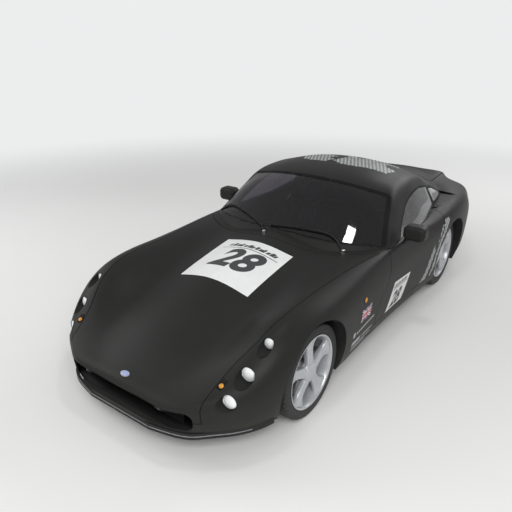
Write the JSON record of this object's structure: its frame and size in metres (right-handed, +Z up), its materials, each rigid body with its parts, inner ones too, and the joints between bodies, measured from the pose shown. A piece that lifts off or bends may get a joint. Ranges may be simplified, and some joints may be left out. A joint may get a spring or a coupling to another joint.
{
  "type": "race car",
  "caption": "Low racing coupe with a long front-hinged bonnet, opening doors and boot lid, bucket seats, steered front wheels and wheels that roll freely.",
  "frame": {"origin": "on the ground, midway between nose and tail on the car's centre plane", "axes": "+X to the car's left, +Y rearwards, +Z up"},
  "size_m": [1.964, 4.2252, 1.2002],
  "materials": {
    "body_paint": "satin dark grey paint",
    "trim_black": "matt black",
    "glass": "tinted",
    "lamp_glass": "clear polished lens",
    "amber_lens": "amber lens",
    "red_lens": "red lens",
    "frame_steel": "black powder coat",
    "engine_alloy": "cast",
    "radiator_alloy": "matt",
    "arm_steel": "satin",
    "tyre_rubber": "matt",
    "rim_alloy": "silver painted",
    "disc_iron": "ground face",
    "seat_cloth": "black woven cloth",
    "grip_leather": "black",
    "exhaust_steel": "polished"
  },
  "bodies": {
    "body": {"front_body": "body_paint", "rear_body": "body_paint", "windscreen_frame": "body_paint", "roof": "body_paint", "door_frames": "body_paint", "floor_pan": "trim_black", "front_splitter": "trim_black", "arch_liners": "trim_black", "windscreen": "glass", "rear_glass": "glass", "tail_lamps": "red_lens", "headlamps": "lamp_glass", "indicators": "amber_lens", "chassis_frame": "frame_steel", "engine": "engine_alloy", "radiator": "radiator_alloy", "firewall": "frame_steel", "rear_bulkhead": "frame_steel", "transmission_tunnel": "frame_steel", "suspension_arms": "arm_steel", "rear_axle": "arm_steel", "dashboard": "trim_black", "seats": "seat_cloth", "wipers": "trim_black", "exhaust": "exhaust_steel"},
    "knuckle_left": {"knuckle_left": "arm_steel"},
    "wheel_front_left": {"wheel_front_left": "rim_alloy", "tyre_front_left": "tyre_rubber", "brake_disc_front_left": "disc_iron"},
    "wheel_rear_left": {"wheel_rear_left": "rim_alloy", "tyre_rear_left": "tyre_rubber", "brake_disc_rear_left": "disc_iron"},
    "door_left": {"door_left": "body_paint", "door_glass_left": "glass", "door_mirror_left": "body_paint"},
    "knuckle_right": {"knuckle_right": "arm_steel"},
    "wheel_front_right": {"wheel_front_right": "rim_alloy", "tyre_front_right": "tyre_rubber", "brake_disc_front_right": "disc_iron"},
    "wheel_rear_right": {"wheel_rear_right": "rim_alloy", "tyre_rear_right": "tyre_rubber", "brake_disc_rear_right": "disc_iron"},
    "door_right": {"door_right": "body_paint", "door_glass_right": "glass", "door_mirror_right": "body_paint"},
    "steering_wheel": {"steering_wheel": "grip_leather"},
    "steering_rack": {"steering_rack": "arm_steel"},
    "bonnet": {"bonnet": "body_paint"},
    "boot_lid": {"boot_lid": "body_paint"}
  },
  "joints": [
    {"name": "steer_left", "type": "hinge", "parent": "body", "child": "knuckle_left", "pos_m": [0.7005, -1.2875, 0.307], "axis": [0, 0, 1], "range_deg": [-30, 30]},
    {"name": "roll_front_left", "type": "hinge", "parent": "knuckle_left", "child": "wheel_front_left", "pos_m": [0.7205, -1.2875, 0.307], "axis": [1, 0, 0], "continuous": true},
    {"name": "roll_rear_left", "type": "hinge", "parent": "body", "child": "wheel_rear_left", "pos_m": [0.6955, 1.0735, 0.318], "axis": [1, 0, 0], "continuous": true},
    {"name": "steer_right", "type": "hinge", "parent": "body", "child": "knuckle_right", "pos_m": [-0.7005, -1.2875, 0.307], "axis": [0, 0, 1], "range_deg": [-30, 30]},
    {"name": "roll_front_right", "type": "hinge", "parent": "knuckle_right", "child": "wheel_front_right", "pos_m": [-0.7205, -1.2875, 0.307], "axis": [1, 0, 0], "continuous": true},
    {"name": "roll_rear_right", "type": "hinge", "parent": "body", "child": "wheel_rear_right", "pos_m": [-0.6955, 1.0735, 0.318], "axis": [1, 0, 0], "continuous": true},
    {"name": "door_left_hinge", "type": "hinge", "parent": "body", "child": "door_left", "pos_m": [0.869, -0.4353, 0.55], "axis": [0, 0, -1], "range_deg": [0, 60]},
    {"name": "door_right_hinge", "type": "hinge", "parent": "body", "child": "door_right", "pos_m": [-0.869, -0.4353, 0.55], "axis": [0, 0, 1], "range_deg": [0, 60]},
    {"name": "bonnet_hinge", "type": "hinge", "parent": "body", "child": "bonnet", "pos_m": [0, -2.06604, 0.297], "axis": [1, 0, 0], "range_deg": [0, 50]},
    {"name": "boot_hinge", "type": "hinge", "parent": "body", "child": "boot_lid", "pos_m": [0, 1.598, 0.908], "axis": [1, 0, 0], "range_deg": [0, 60]},
    {"name": "steering_wheel_turn", "type": "hinge", "parent": "body", "child": "steering_wheel", "pos_m": [0.37, 0.0701, 0.69], "axis": [0, 0.9272, 0.3746], "range_deg": [-450, 450]},
    {"name": "rack_slide", "type": "slide", "parent": "body", "child": "steering_rack", "axis": [1, 0, 0], "range_m": [-0.063, 0.063]}
  ],
  "couplings": [
    {"joint": "steer_right", "follows": "steer_left", "ratio": 1},
    {"joint": "steering_wheel_turn", "follows": "steer_left", "ratio": 15},
    {"joint": "rack_slide", "follows": "steer_left", "m_per_rad": 0.12}
  ]
}
